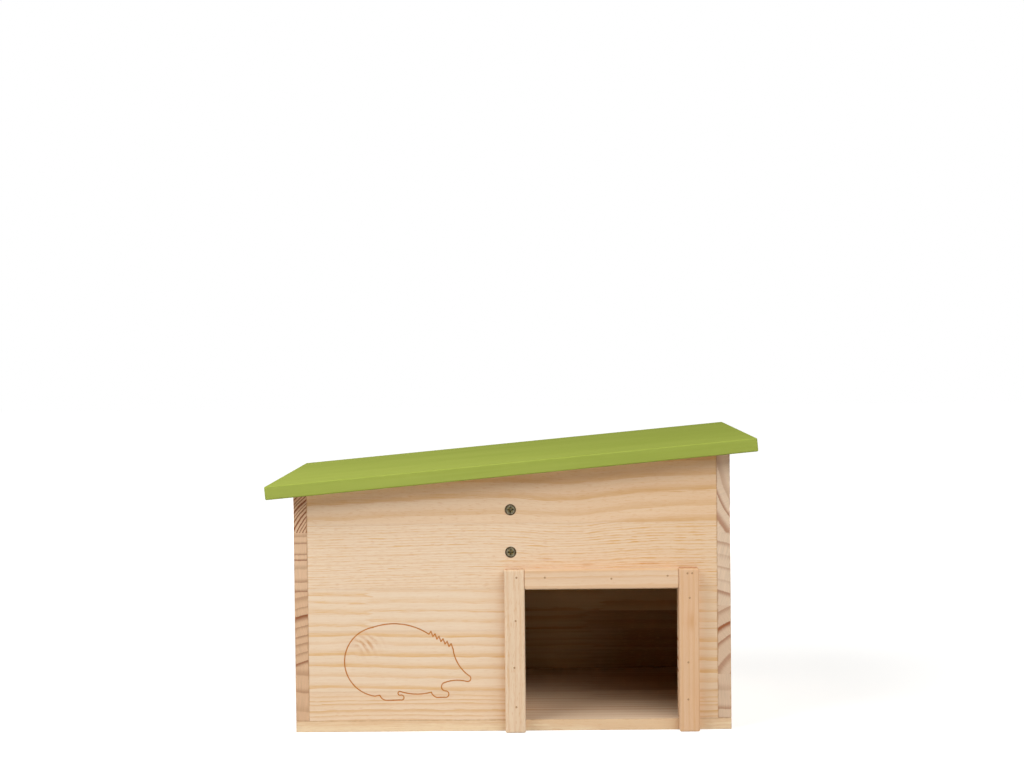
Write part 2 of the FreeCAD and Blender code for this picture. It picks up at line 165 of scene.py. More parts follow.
# Growth rings of sawn pine: the rings run round a pith line that wanders along the grain,
# so that faces show stripes or flames and board ends show arcs
def buildRingGroup():
    bench, given, result = startGroup(
        "pineRings",
        [("Place", "Vector", None), ("Pith Across", "Float", 0.0), ("Pith Depth", "Float", 0.03),
         ("Ring Width", "Float", 0.004), ("Lean", "Float", 0.0), ("Wave", "Float", 0.003), ("Seed", "Float", 0.0),
         ("Feather", "Float", 0.0)],
        [("Late Wood", "Float"), ("Fibre", "Float"), ("Streak", "Float"), ("Cloud", "Float"), ("Duct", "Float"),
         ("Ray", "Float"), ("Dash", "Float")])
    along, across, depth = bench.split(given["Place"])[:3]
    shifted = bench.calc("ADD", along, bench.times(given["Seed"], seedStride))

    def drawn(kind):
        lengthwise, sideways, detail, roughness = grainNoise[kind]
        place = bench.combine(bench.times(shifted, lengthwise), bench.times(across, sideways),
                              bench.times(depth, sideways))
        return bench.noise(place, detail=detail, roughness=roughness)

    # slow wander of the pith, then a quicker ripple that all rings share
    wander = bench.split(bench.vector("SUBTRACT", drawn("wander")["Color"], (0.5, 0.5, 0.5)))
    ripple = bench.calc("MULTIPLY_ADD", drawn("ripple")["Fac"], rippleWidth, -rippleWidth / 2)
    tremble = bench.calc("MULTIPLY_ADD", drawn("tremble")["Fac"], trembleWidth, -trembleWidth / 2)
    ripple = bench.calc("ADD", ripple, tremble)
    # the rings' edges fray into single fibres
    fray = bench.times(bench.calc("SUBTRACT", drawn("fray")["Fac"], 0.5), given["Feather"])
    ripple = bench.calc("MULTIPLY_ADD", fray, given["Ring Width"], ripple)
    reach = bench.times(given["Wave"], wanderReach)
    acrossPith = bench.calc("SUBTRACT", across, given["Pith Across"])
    acrossPith = bench.calc("SUBTRACT", acrossPith, bench.times(given["Lean"], along))
    acrossPith = bench.calc("ADD", acrossPith, bench.times(wander[0], reach))
    depthPith = bench.calc("SUBTRACT", depth, given["Pith Depth"])
    depthPith = bench.calc("ADD", depthPith, bench.times(wander[1], reach))
    radius = bench.vector("LENGTH", bench.combine(acrossPith, depthPith, 0.0))
    radius = bench.calc("ADD", radius, ripple)
    rings = bench.calc("DIVIDE", radius, given["Ring Width"])
    # some years grow wider than others
    years = bench.noise(bench.combine(rings, given["Seed"], 0.0), scale=ringYear["widthRate"], detail=1.0)
    spread = ringYear["widthSpread"]
    rings = bench.calc("ADD", rings, bench.calc("MULTIPLY_ADD", years["Fac"], spread, -spread / 2))
    phase = bench.calc("FRACT", rings)
    year = bench.calc("FLOOR", rings)
    luck = bench.add("TexWhiteNoise", {"Vector": bench.combine(year, given["Seed"], 0.0)}, noise_dimensions="3D")
    rise = bench.ease(phase, ringYear["lateFrom"], ringYear["lateFull"])
    drop = bench.ease(phase, ringYear["endFrom"], 1.0, 1.0, 0.0)
    late = bench.times(bench.calc("POWER", rise, ringYear["contrast"]), drop)
    late = bench.times(late, bench.rescale(luck.outputs["Value"], 0.0, 1.0, ringYear["weakest"], 1.0))
    # rays run out from the pith, seen on the board's ends
    angle = bench.calc("ARCTAN2", acrossPith, depthPith)
    rays = bench.combine(*(bench.times(value, repeats)
                           for value, repeats in zip((angle, radius, shifted), rayRepeats)))
    rays = bench.noise(rays, detail=2.0)
    bench.feed(result["Late Wood"], late)
    # fibres, coarse and fine, drawn out along the grain
    bench.feed(result["Streak"], drawn("streak")["Fac"])
    bench.feed(result["Fibre"], drawn("fibre")["Fac"])
    bench.feed(result["Cloud"], drawn("cloud")["Fac"])
    bench.feed(result["Duct"], bench.ease(drawn("duct")["Fac"], *ductRange))
    bench.feed(result["Ray"], rays["Fac"])
    # flat-sawn late wood breaks up into short dashes
    bench.feed(result["Dash"], bench.ease(drawn("dash")["Fac"], *dashRange))
    return bench.tree


# How far a point of a box-shaped board is from the nearest arris
def buildArrisGroup():
    bench, given, result = startGroup(
        "arrisDistance", [("Place", "Vector", None), ("Middle", "Vector", None), ("Half Size", "Vector", None)],
        [("Distance", "Float")])
    local = bench.vector("ABSOLUTE", bench.vector("SUBTRACT", given["Place"], given["Middle"]))
    x, y, z = bench.split(bench.vector("SUBTRACT", given["Half Size"], local))[:3]
    low = bench.calc("MINIMUM", x, y)
    high = bench.calc("MAXIMUM", x, y)
    bench.feed(result["Distance"], bench.calc("MAXIMUM", low, bench.calc("MINIMUM", high, z)))
    return bench.tree


def nearness(bench, given):
    # 1 at the centre, falling off softly over the spread
    offset = bench.vector("DIVIDE", bench.vector("SUBTRACT", given["Place"], given["Centre"]), given["Spread"])
    return bench.calc("EXPONENT", bench.times(bench.vector("DOT_PRODUCT", offset, offset), -1.0))


# Grain pushed across the board near a knot, strongest at the centre
def buildSwirlGroup():
    bench, given, result = startGroup(
        "grainSwirl", [("Place", "Vector", None), ("Centre", "Vector", None), ("Spread", "Vector", None),
                       ("Pull", "Float", 0.0)],
        [("Push", "Float"), ("Nearness", "Float")])
    near = nearness(bench, given)
    bench.feed(result["Push"], bench.times(near, given["Pull"]))
    bench.feed(result["Nearness"], near)
    return bench.tree


# Short arcs of grain round a pivot, seen only near the centre, as a buried knot leaves them
curlArc = {"bendScale": 90.0, "bend": 0.9, "lineRange": (0.10, 0.40), "breakScale": 170.0,
           "breakRange": (0.34, 0.58, 0.25, 1.0)}


def buildCurlGroup():
    bench, given, result = startGroup(
        "grainCurl", [("Place", "Vector", None), ("Centre", "Vector", None), ("Spread", "Vector", None),
                      ("Pivot", "Vector", None), ("Spacing", "Float", 0.002)],
        [("Line", "Float")])
    near = nearness(bench, given)
    bend = bench.noise(given["Place"], curlArc["bendScale"], 2.0)["Fac"]
    radius = bench.vector("DISTANCE", given["Place"], given["Pivot"])
    turns = bench.calc("MULTIPLY_ADD", bend, curlArc["bend"], bench.calc("DIVIDE", radius, given["Spacing"]))
    arc = bench.ease(bench.calc("PINGPONG", turns, 0.5), *curlArc["lineRange"])
    broken = bench.noise(given["Place"], curlArc["breakScale"], 2.0)["Fac"]
    broken = bench.ease(broken, *curlArc["breakRange"])
    bench.feed(result["Line"], bench.times(bench.times(arc, broken), near))
    return bench.tree


ringGroup = buildRingGroup()
arrisGroup = buildArrisGroup()
swirlGroup = buildSwirlGroup()
curlGroup = buildCurlGroup()
print("shader groups built")


# Pine boards, glued up from staves. A stave's top is along the board's width; its pith is across and deep in the
# board, rings and wave are in metres, late is the strength of the late wood, warm its tint, joint a finger joint
pineLooks = {
    "early": srgb(238, 214, 187),
    "late": srgb(225, 175, 104),
    "lateWarm": srgb(196, 144, 94),
    "blush": srgb(230, 188, 142),
    "endEarly": srgb(222, 190, 157),
    "endLate": srgb(158, 94, 58),
    "endBlush": srgb(198, 146, 100),
    "duct": srgb(214, 160, 106),
    "smear": srgb(206, 146, 92),
    "seam": srgb(196, 150, 108),
    "heartAndShade": srgb(165, 130, 84),
    "arris": srgb(178, 128, 86),
    "dustAndTopShade": srgb(206, 196, 184),
    "feather": 0.30, "brokenFeather": 0.9, "endFeather": 0.08, "dashGain": 1.7,
    "streakLate": (0.65, 1.15), "cloudBlush": (0.6, 1.3), "greenPower": 2.3, "bluePower": 3.9,
    "streakTone": (0.25, 0.75, 0.975, 1.022), "fibreTone": (0.25, 0.75, 0.985, 1.012),
    "endContrast": 1.87, "poreScale": 1900.0, "poreTone": (0.93, 1.04), "rayTone": (0.90, 1.05),
    "arrisFrom": 0.0001, "arrisTo": 0.0010, "patchScale": 160.0, "patchReach": (-0.0004, 0.0006),
    "smoothest": 0.56, "roughest": 0.78, "specular": 0.35, "bump": 0.8,
    "relief": {"late": 0.000022, "streak": 0.00003, "fibre": 0.000012, "pore": 0.00006},  # metres
}


def stave(top, pith, depth, rings, late=0.7, warm=0.3, lean=0.0, wave=0.003, joint=None, fleck=0.2, dark=0.0,
          broken=0.0):
    return {"top": top, "pith": pith, "depth": depth, "rings": rings, "late": late, "warm": warm,
            "lean": lean, "wave": wave, "joint": joint, "fleck": fleck, "dark": dark, "broken": broken}


staveRanges = {"width": (0.030, 0.052), "pithAway": (0.01, 0.12), "depth": (-0.06, 0.06), "rings": (0.0026, 0.0050),
               "late": (0.45, 0.9), "warm": (0.1, 0.6), "lean": (-0.03, 0.03), "wave": (0.002, 0.005),
               "joint": (-0.15, 0.15)}


def randomStaves(seed, low, high):
    draw = random.Random(seed)
    staves = []
    edge = low
    while edge < high:
        width = draw.uniform(*staveRanges["width"])
        middle = edge + width / 2
        edge += width
        pith = middle + draw.choice((-1, 1)) * draw.uniform(*staveRanges["pithAway"])
        staves.append(stave(edge, pith, *(draw.uniform(*staveRanges[name]) for name in (
            "depth", "rings", "late", "warm", "lean", "wave", "joint"))))
    return staves


axisNumber = {"X": 0, "Y": 1, "Z": 2}
roofRise, houseWidth = 35.0, 390.0  # millimetres, the roof's slope over the body
seamReach, seedSpread = 0.006, 97.0  # share of the board's width, and how many seeds there are
staveLimits = {"pith": 0.30, "depth": 0.20, "rings": 0.020, "lean": 0.2, "wave": 0.02, "joint": 0.30}


def staveValues(bench, across, board):
    # each stave's own numbers, looked up by the place across the board
    low, high = board["span"]
    staves = board["staves"]
    factor = bench.rescale(across, low, high, 0.0, 1.0)

    def half(value, limit):
        return 0.5 + value / limit / 2

    starts = [0.0] + [(each["top"] - low) / (high - low) for each in staves[:-1]]
    figure = bench.ramp(factor, [
        (start, (half(each["pith"] - low, staveLimits["pith"]), half(each["depth"], staveLimits["depth"]),
                 each["rings"] / staveLimits["rings"], each["late"]))
        for start, each in zip(starts, staves)])
    bearing = bench.ramp(factor, [
        (start, (half(each["lean"], staveLimits["lean"]), each["wave"] / staveLimits["wave"],
                 half(staveLimits["joint"] if each["joint"] is None else each["joint"], staveLimits["joint"]),
                 each["warm"]))
        for start, each in zip(starts, staves)])
    extra = bench.ramp(factor, [
        (start, (each["fleck"], each["dark"], each["broken"], 1)) for start, each in zip(starts, staves)])
    extras = bench.add("SeparateColor", {0: extra.outputs["Color"]}).outputs
    colours = bench.add("SeparateColor", {0: figure.outputs["Color"]}).outputs
    bearings = bench.add("SeparateColor", {0: bearing.outputs["Color"]}).outputs
    seamStops = [(0.0, (0, 0, 0, 1))]
    for start in starts[1:]:
        for shift, strength in ((-seamReach, 0), (0.0, 1), (seamReach, 0)):
            seamStops.append((start + shift, (strength,) * 3 + (1,)))
    seam = bench.ramp(factor, seamStops, "LINEAR").outputs["Color"] if len(starts) > 1 else 0.0
    pith = staveLimits["pith"]
    deep = staveLimits["depth"]
    lean = staveLimits["lean"]
    joint = staveLimits["joint"]
    return {
        "pith": bench.rescale(colours[0], 0.0, 1.0, low - pith, low + pith),
        "depth": bench.rescale(colours[1], 0.0, 1.0, -deep, deep),
        "rings": bench.times(colours[2], staveLimits["rings"]),
        "late": figure.outputs["Alpha"],
        "lean": bench.rescale(bearings[0], 0.0, 1.0, -lean, lean),
        "wave": bench.times(bearings[1], staveLimits["wave"]),
        "joint": bench.rescale(bearings[2], 0.0, 1.0, -joint, joint),
        "warm": bearing.outputs["Alpha"],
        "fleck": extras[0],
        "dark": extras[1],
        "broken": extras[2],
        "seam": seam,
        "number": bench.calc("FLOOR", bench.times(colours[0], seedSpread)),
    }


# Past its joint a stave goes on in another length of wood: another seed, and its pith a little lower
fingerJoint = {"length": 0.009, "pitch": 0.0038, "line": 0.0007, "fray": 0.003, "seedStep": 5.3, "pithStep": -0.014,
               "rags": (30.0, 700.0), "outerDarkShare": 0.25, "seamStrength": 0.18}


def pineFace(bench, board, along, across, depth, end, inner=0.0):
    # colour of bare pine; end is 1 where the board's end grain shows, inner on the side that faces the room inside
    values = staveValues(bench, across, board)
    # finger joints: past the zigzag line another length of wood begins
    tooth = bench.calc("PINGPONG", across, fingerJoint["pitch"] / 2)
    tooth = bench.times(tooth, 2 * fingerJoint["length"] / fingerJoint["pitch"])
    past = bench.calc("SUBTRACT", bench.calc("ADD", along, tooth), values["joint"])
    lengthwise, sideways = fingerJoint["rags"]
    ragged = bench.noise(bench.combine(bench.times(along, lengthwise), bench.times(across, sideways), 0.0))["Fac"]
    past = bench.calc("MULTIPLY_ADD", bench.calc("SUBTRACT", ragged, 0.5),
                      board.get("fray", fingerJoint["fray"]), past)
    secondLength = bench.calc("GREATER_THAN", past, 0.0)
    jointLine = bench.ease(bench.calc("ABSOLUTE", past), 0.0, fingerJoint["line"], 1.0, 0.0)
    seed = bench.calc("ADD", bench.times(secondLength, fingerJoint["seedStep"]), values["number"])
    seed = bench.calc("ADD", seed, board.get("seed", 0.0))
    pith = bench.calc("ADD", values["pith"], bench.times(secondLength, fingerJoint["pithStep"]))
    place = bench.combine(along, across, depth)
    darker = 0.0
    smear = 0.0
    for swirl in board.get("swirls", ()):
        swirled = bench.group(swirlGroup, {"Place": place, "Centre": swirl["centre"], "Spread": swirl["spread"],
                                           "Pull": swirl.get("pull", 0.0)})
        across = bench.calc("ADD", across, swirled["Push"])
        darker = bench.calc("MULTIPLY_ADD", swirled["Nearness"], swirl.get("dark", 0.0), darker)
        smear = bench.calc("MULTIPLY_ADD", swirled["Nearness"], swirl.get("smear", 0.0), smear)
    place = bench.combine(along, across, depth)
    feather = bench.calc("MULTIPLY_ADD", values["broken"], pineLooks["brokenFeather"], pineLooks["feather"])
    rings = bench.group(ringGroup, {
        "Place": place, "Pith Across": pith, "Pith Depth": values["depth"], "Ring Width": values["rings"],
        "Lean": values["lean"], "Wave": values["wave"], "Seed": seed,
        "Feather": bench.rescale(end, 0.0, 1.0, feather, pineLooks["endFeather"])})

    # late wood, a blush that differs from stave to stave, fibres and ducts
    late = bench.times(rings["Late Wood"], bench.calc("ADD", values["late"], darker))
    late = bench.times(late, board.get("faceGain", 1.0))
    dashes = bench.calc("MULTIPLY_ADD", rings["Dash"], pineLooks["dashGain"], -1.0)
    late = bench.times(late, bench.calc("MULTIPLY_ADD", dashes, values["broken"], 1.0))
    streak = bench.fromNoise(rings["Streak"], *pineLooks["streakLate"])
    late = bench.times(late, streak, clamp=True)
    cloud = bench.fromNoise(rings["Cloud"], *pineLooks["cloudBlush"])
    blush = bench.times(values["warm"], cloud, clamp=True)
    early = bench.mix(blush, board.get("early", pineLooks["early"]), board.get("blush", pineLooks["blush"]))
    lateTone = bench.mix(values["warm"], board.get("late", pineLooks["late"]),
                         board.get("late", pineLooks["lateWarm"]))
    face = bench.mix(late, early, lateTone)
    blur = board.get("blur", 0.0001)
    heartAndShade = bench.times(bench.ease(past, -blur, blur), values["dark"])
    if "inside" in board:
        # past a joint the wood turns dark, part heartwood and part painted shade: full on the inner face, faint
        # outside
        heartAndShade = bench.times(heartAndShade, bench.rescale(inner, 0.0, 1.0, fingerJoint["outerDarkShare"], 1.0))
        # painted shade: the inside tint darkens and tints the face towards the room
        face = bench.mix(inner, face, bench.mix(1.0, face, board["inside"]["tint"], "MULTIPLY"))
    face = bench.mix(heartAndShade, face, pineLooks["heartAndShade"], "MULTIPLY")
    for curl in board.get("curls", ()):
        arc = bench.group(curlGroup, {"Place": place, "Centre": curl["centre"], "Spread": curl["spread"],
                                      "Pivot": curl["pivot"], "Spacing": curl["spacing"]})["Line"]
        face = bench.mix(bench.times(arc, curl["strength"], clamp=True), face, pineLooks["smear"])
    # fibres change the wood's yellow more than its brightness
    streak = bench.rescale(rings["Streak"], *pineLooks["streakTone"])
    fibre = bench.rescale(rings["Fibre"], *pineLooks["fibreTone"])
    tone = bench.times(streak, fibre)
    tone = bench.combine(tone, bench.calc("POWER", tone, pineLooks["greenPower"]),
                         bench.calc("POWER", tone, pineLooks["bluePower"]))
    face = bench.mix(1.0, face, tone, "MULTIPLY")
    if "rightShade" in board:
        # painted shade: the wood turns darker and yellower along the board, towards its right end
        rightShade = board["rightShade"]
        face = bench.mix(bench.ease(along, rightShade["start"], rightShade["end"]), face,
                         bench.mix(1.0, face, rightShade["colour"], "MULTIPLY"))
    ductStrength = bench.times(rings["Duct"], values["fleck"])
    face = bench.mix(ductStrength, face, pineLooks["duct"])
    face = bench.mix(smear, face, pineLooks["smear"])
    seamStrength = bench.times(bench.calc("MAXIMUM", values["seam"], jointLine), fingerJoint["seamStrength"])
    return bench.mix(seamStrength, face, pineLooks["seam"]), rings, values


# How squarely a face has to look one way to count as facing it: from not at all to wholly
endFacing, wideFacing, upFacing, downFacing = (0.80, 0.97), (0.5, 0.9), (0.3, 0.9), (-0.9, -0.5)


def pineMaterial(name, board):
    material, bench = startMaterial(name)
    texture = bench.add("TexCoord").outputs
    position = bench.split(texture["Object"])
    grain, width = axisNumber[board["grain"]], axisNumber[board["across"]]
    thickness = 3 - grain - width
    depth = bench.calc("SUBTRACT", position[thickness], board["face"])
    normal = bench.split(texture["Normal"])
    end = bench.ease(bench.calc("ABSOLUTE", normal[grain]), *endFacing)

    def facing(side):
        # 1 on the wide face that looks to this side, 1 or -1 along the board's thickness
        return bench.ease(bench.times(normal[thickness], side), *wideFacing)

    inner = facing(board["inside"]["side"]) if "inside" in board else 0.0
    face, rings, values = pineFace(bench, board, position[grain], position[width], depth, end, inner)
    # end colour: the same rings, darker, with open pores
    endLate = bench.times(bench.calc("POWER", rings["Late Wood"], pineLooks["endContrast"]),
                          bench.times(values["late"], board.get("endGain", 1.9)), clamp=True)
    endEarly = bench.mix(values["warm"], board.get("endEarly", pineLooks["endEarly"]), pineLooks["endBlush"])
    endFace = bench.mix(endLate, endEarly, board.get("endLate", pineLooks["endLate"]))
    pores = bench.noise(texture["Object"], pineLooks["poreScale"], 2.0)
    poreShade = bench.fromNoise(pores["Fac"], *pineLooks["poreTone"])
    poreShade = bench.times(poreShade, bench.fromNoise(rings["Ray"], *pineLooks["rayTone"]))
    endFace = bench.mix(1.0, endFace, bench.combine(poreShade, poreShade, poreShade), "MULTIPLY")
    colour = bench.mix(end, face, endFace)
    if "roofShade" in board:
        # painted shade: the wood is a little darker and browner along the sloping upper edge, under the roof
        roofShade = board["roofShade"]
        line = bench.calc("MULTIPLY_ADD", position[grain], roofShade["slope"], roofShade["top"])
        near = bench.ease(bench.calc("SUBTRACT", line, position[width]), 0.0, roofShade["reach"], 1.0, 0.0)
        near = bench.times(near, facing(roofShade["side"]))
        colour = bench.mix(near, colour, bench.mix(1.0, colour, roofShade["colour"], "MULTIPLY"))
    # painted shade: faces that look up are darkened against the strong light from the lamps above
    if "dustAndTopShade" in board:
        upward = bench.ease(normal[2], *upFacing, 0.0, board["dustAndTopShade"])
        colour = bench.mix(upward, colour, pineLooks["dustAndTopShade"], "MULTIPLY")
    # arrises: the colour turns a darker brown close to each arris
    low, high = board["box"]
    middle = [(a + b) / 2 for a, b in zip(low, high)]
    halfSize = [(b - a) / 2 for a, b in zip(low, high)]
    arris = bench.group(arrisGroup, {"Place": texture["Object"], "Middle": middle, "Half Size": halfSize})
    patchy = bench.noise(texture["Object"], pineLooks["patchScale"], 2.0)["Fac"]
    edge = bench.calc("ADD", arris["Distance"], bench.fromNoise(patchy, *pineLooks["patchReach"]))
    arrisDarkening = bench.ease(edge, pineLooks["arrisFrom"], pineLooks["arrisTo"], board.get("arrisDarkening", 0.35), 0.0)
    colour = bench.mix(arrisDarkening, colour, pineLooks["arris"])
    engraved = board.get("engraved")
    if engraved:
        # inside the outline's groove the wood is browned
        x, y, z = position[0], position[1], position[2]
        sunk = bench.ease(y, engraved["skin"], engraved["floor"])
        inside = bench.times(bench.calc("GREATER_THAN", x, engraved["left"]),
                             bench.calc("LESS_THAN", x, engraved["right"]))
        inside = bench.times(inside, bench.calc("GREATER_THAN", z, engraved["bottom"]))
        inside = bench.times(inside, bench.calc("LESS_THAN", z, engraved["top"]))
        inside = bench.times(inside, bench.calc("LESS_THAN", y, engraved["back"]))
        sunk = bench.times(sunk, inside)
        scorch = bench.noise(texture["Object"], engraved["scorchScale"], 3.0)["Fac"]
        scorch = bench.fromNoise(scorch, *engraved["scorchRange"])
        colour = bench.mix(bench.times(sunk, scorch), colour, engraved["colour"])

    height = pineLooks["relief"]
    relief = bench.calc("MULTIPLY_ADD", rings["Late Wood"], height["late"],
                        bench.times(rings["Streak"], height["streak"]))
    relief = bench.calc("ADD", relief, bench.times(rings["Fibre"], height["fibre"]))
    openPores = bench.times(pores["Fac"], end)
    relief = bench.calc("SUBTRACT", relief, bench.times(openPores, height["pore"]))
    roughness = bench.rescale(bench.calc("ADD", rings["Streak"], bench.times(end, 0.5)), 0.2, 1.2,
                              pineLooks["smoothest"], pineLooks["roughest"])
    finishSurface(bench, colour, roughness, relief, pineLooks["bump"], {"Specular IOR Level": pineLooks["specular"]})
    return material


def dress(material, *nodes):
    for name in nodes:
        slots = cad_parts[name].data.materials
        slots.clear()
        slots.append(material)


def boxOf(*nodes):
    corners = [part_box(name) for name in nodes]
    low = tuple(min(corner[0][axis] for corner in corners) for axis in range(3))
    high = tuple(max(corner[1][axis] for corner in corners) for axis in range(3))
    return low, high


# Front wall, its staves from the floor up. The roof shade is painted shade, a browner line along its sloping upper
# edge
frontWall = {
    "grain": "X", "across": "Z", "face": -0.130, "span": (0.008, 0.250), "seed": 1.0,
    "staves": [
        stave(0.036, -0.080, 0.020, 0.0042, late=0.80, warm=0.28, lean=-0.010, wave=0.005, fleck=0.22, broken=0.15),
        stave(0.0905, 0.3060, 0.010, 0.0100, late=0.86, warm=0.08, lean=-0.020, wave=0.002, fleck=0.15, broken=0.10),
        stave(0.128, 0.290, -0.060, 0.0090, late=0.66, warm=0.05, lean=-0.010, wave=0.002, joint=-0.124, fleck=0.15,
              broken=0.25),
        stave(0.186, -0.050, 0.030, 0.0025, late=0.68, warm=0.10, lean=0.008, wave=0.002, fleck=0.34, broken=0.45),
        stave(0.250, 0.3063, 0.020, 0.0142, late=0.88, warm=0.38, lean=0.030, wave=0.004, fleck=0.34, broken=0.12),
    ],
    "rightShade": {"start": -0.06, "end": 0.19, "colour": (0.950, 0.900, 0.830, 1.0)},
    "roofShade": {"slope": roofRise / houseWidth, "top": 0.2316, "reach": 0.018, "side": -1.0,
              "colour": (0.92, 0.885, 0.70, 1.0)},
    "swirls": [
        {"centre": (0.050, 0.200, 0.0), "spread": (0.045, 0.040, 0.1), "pull": 0.006},
        {"centre": (-0.150, 0.0787, 0.0), "spread": (0.045, 0.0060, 0.1), "dark": -0.45},
        {"centre": (-0.138, 0.0800, 0.0), "spread": (0.022, 0.0070, 0.1), "pull": -0.0020},
        {"centre": (0.120, 0.1570, 0.0), "spread": (0.090, 0.0300, 0.1), "dark": 0.35},
        {"centre": (0.031, 0.1540, 0.0), "spread": (0.0040, 0.0012, 0.1), "smear": 0.35},
        {"centre": (0.067, 0.1487, 0.0), "spread": (0.0055, 0.0016, 0.1), "smear": 0.38},
        {"centre": (0.124, 0.1496, 0.0), "spread": (0.0090, 0.0014, 0.1), "smear": 0.35},
    ],
    "curls": [
        {"centre": (-0.132, 0.0785, 0.0), "spread": (0.012, 0.0075, 0.1), "pivot": (-0.149, 0.0610, 0.0),
         "spacing": 0.0054, "strength": 0.75},
    ],
    "engraved": {"skin": -0.12995, "floor": -0.1297, "back": -0.129, "left": -0.153, "right": -0.036,
                 "bottom": 0.025, "top": 0.099, "colour": srgb(206, 126, 24),
                 "scorchScale": 260.0, "scorchRange": (0.8, 1.0)},
    "box": boxOf("front_wall"), "arrisDarkening": 0.22,
}
dress(pineMaterial("pineFrontWall", frontWall), "front_wall")

# Side walls: their front ends show end grain
leftWall = {
    "grain": "Y", "across": "Z", "face": -0.195, "span": (0.008, 0.214), "seed": 2.0,
    "endEarly": srgb(229, 194, 160), "endLate": srgb(146, 86, 52), "arrisDarkening": 0.6, "endGain": 2.7, "faceGain": 1.5,
    "staves": [
        stave(0.0586, 0.200, 0.020, 0.0140, late=0.27, warm=0.30),
        stave(0.1257, -0.060, 0.051, 0.0082, late=0.44, warm=0.30),
        stave(0.1786, 0.300, 0.000, 0.0078, late=0.36, warm=0.14),
        stave(0.2140, 0.155, 0.062, 0.0026, late=1.00, warm=0.15),
    ],
    "box": boxOf("left_wall"),
}
rightWall = {
    "grain": "Y", "across": "Z", "face": 0.183, "span": (0.008, 0.250), "seed": 3.0,
    "endEarly": srgb(225, 199, 172), "arrisDarkening": 0.6,
    "staves": [
        stave(0.0487, 0.260, 0.000, 0.0150, late=0.35, warm=0.15),
        stave(0.1106, 0.020, 0.0485, 0.0122, late=0.74, warm=0.20),
        stave(0.1754, -0.060, -0.044, 0.0112, late=0.42, warm=0.02),
        stave(0.2500, 0.255, 0.100, 0.0102, late=0.50, warm=0.02),
    ],
    "box": boxOf("right_wall"),
}
dress(pineMaterial("pineLeftWall", leftWall), "left_wall")
dress(pineMaterial("pineRightWall", rightWall), "right_wall")

# Back wall, partition and floor. An inside tint is painted shade, which darkens only the face towards the room
backWall = {"grain": "X", "across": "Z", "face": 0.130, "span": (0.008, 0.250), "seed": 4.0,
            "early": srgb(236, 210, 174), "late": srgb(214, 164, 104), "blush": srgb(226, 184, 134),
            "inside": {"side": -1.0, "tint": (0.81, 0.735, 0.53, 1.0)}, "fray": 0.008, "blur": 0.045,
            "staves": [
                stave(0.0295, -0.060, 0.020, 0.0072, late=0.3, warm=0.05, joint=0.082, dark=1.0),
                stave(0.0500, 0.160, -0.030, 0.0082, late=0.7, warm=0.30, joint=0.086, dark=0.95),
                stave(0.0690, 0.020, 0.040, 0.0064, late=0.9, warm=0.55, joint=0.076, wave=0.004, dark=0.80),
                stave(0.0990, 0.060, 0.030, 0.0078, late=0.9, warm=0.40, joint=0.094, wave=0.004, dark=0.38),
                stave(0.1400, 0.200, 0.010, 0.0036, late=0.6, warm=0.20, joint=-0.090),
                stave(0.1800, 0.100, -0.050, 0.0050, late=0.7, warm=0.50, joint=0.120, dark=0.4),
                stave(0.2500, 0.240, 0.030, 0.0042, late=0.6, warm=0.30, joint=-0.030),
            ],
            "box": boxOf("back_wall")}
partitionWall = {"grain": "Y", "across": "Z", "face": -0.007, "span": (0.008, 0.250), "seed": 5.0,
                 "staves": randomStaves(12, 0.008, 0.250), "box": boxOf("partition")}
floorBoard = {"grain": "X", "across": "Y", "face": 0.010, "span": (-0.132, 0.132), "seed": 6.0,
              "early": srgb(240, 216, 181), "late": srgb(208, 152, 96),
              "inside": {"side": 1.0, "tint": (0.84, 0.83, 0.89, 1.0)}, "blur": 0.050,
              "staves": [
                  stave(-0.090, 0.140, 0.030, 0.0098, late=0.40, warm=0.10, wave=0.002),
                  stave(-0.048, -0.220, 0.020, 0.0086, late=0.85, warm=0.20, wave=0.003),
                  stave(-0.002, 0.150, -0.040, 0.0108, late=0.60, warm=0.15, joint=0.080, wave=0.003, dark=0.35),
                  stave(0.044, -0.080, 0.030, 0.0074, late=0.75, warm=0.20, joint=0.076, dark=0.72),
                  stave(0.088, 0.130, 0.050, 0.0062, late=0.70, warm=0.30, joint=0.080, dark=0.80),
                  stave(0.132, -0.040, -0.030, 0.0082, late=0.50, warm=0.10, joint=0.086, dark=0.70),
              ],
              "box": boxOf("floor_board")}
dress(pineMaterial("pineBackWall", backWall), "back_wall")
dress(pineMaterial("pinePartition", partitionWall), "partition")
dress(pineMaterial("pineFloor", floorBoard), "floor_board")

# Entrance strips
stripPine = {"early": srgb(235, 211, 182), "late": srgb(213, 159, 101), "blush": srgb(222, 176, 134), "arrisDarkening": 0.15}
leftPost = {**stripPine, "grain": "Z", "across": "X", "face": -0.140, "span": (-0.010, 0.014), "seed": 7.0,
            "staves": [stave(0.014, 0.060, 0.030, 0.0048, late=0.40, warm=0.15, wave=0.002, fleck=0.4, broken=0.4)],
            "dustAndTopShade": 0.45,
            "box": boxOf("entrance_left_post")}
rightPost = {**stripPine, "grain": "Z", "across": "X", "face": -0.140, "span": (0.145, 0.170), "seed": 8.0,
             "staves": [stave(0.170, 0.120, 0.020, 0.0052, late=0.45, warm=0.82, wave=0.002)], "dustAndTopShade": 0.45,
             "swirls": [{"centre": (0.0985, 0.1590, 0.0), "spread": (0.0075, 0.0035, 0.1), "pull": 0.001,
                         "smear": 0.45}],
             "box": boxOf("entrance_right_post")}
lintel = {**stripPine, "grain": "X", "across": "Z", "face": -0.140, "span": (0.126, 0.148), "seed": 9.0,
          "staves": [stave(0.148, 0.100, -0.010, 0.0068, late=0.55, warm=0.45, wave=0.002)], "dustAndTopShade": 0.45,
          "box": boxOf("entrance_lintel")}
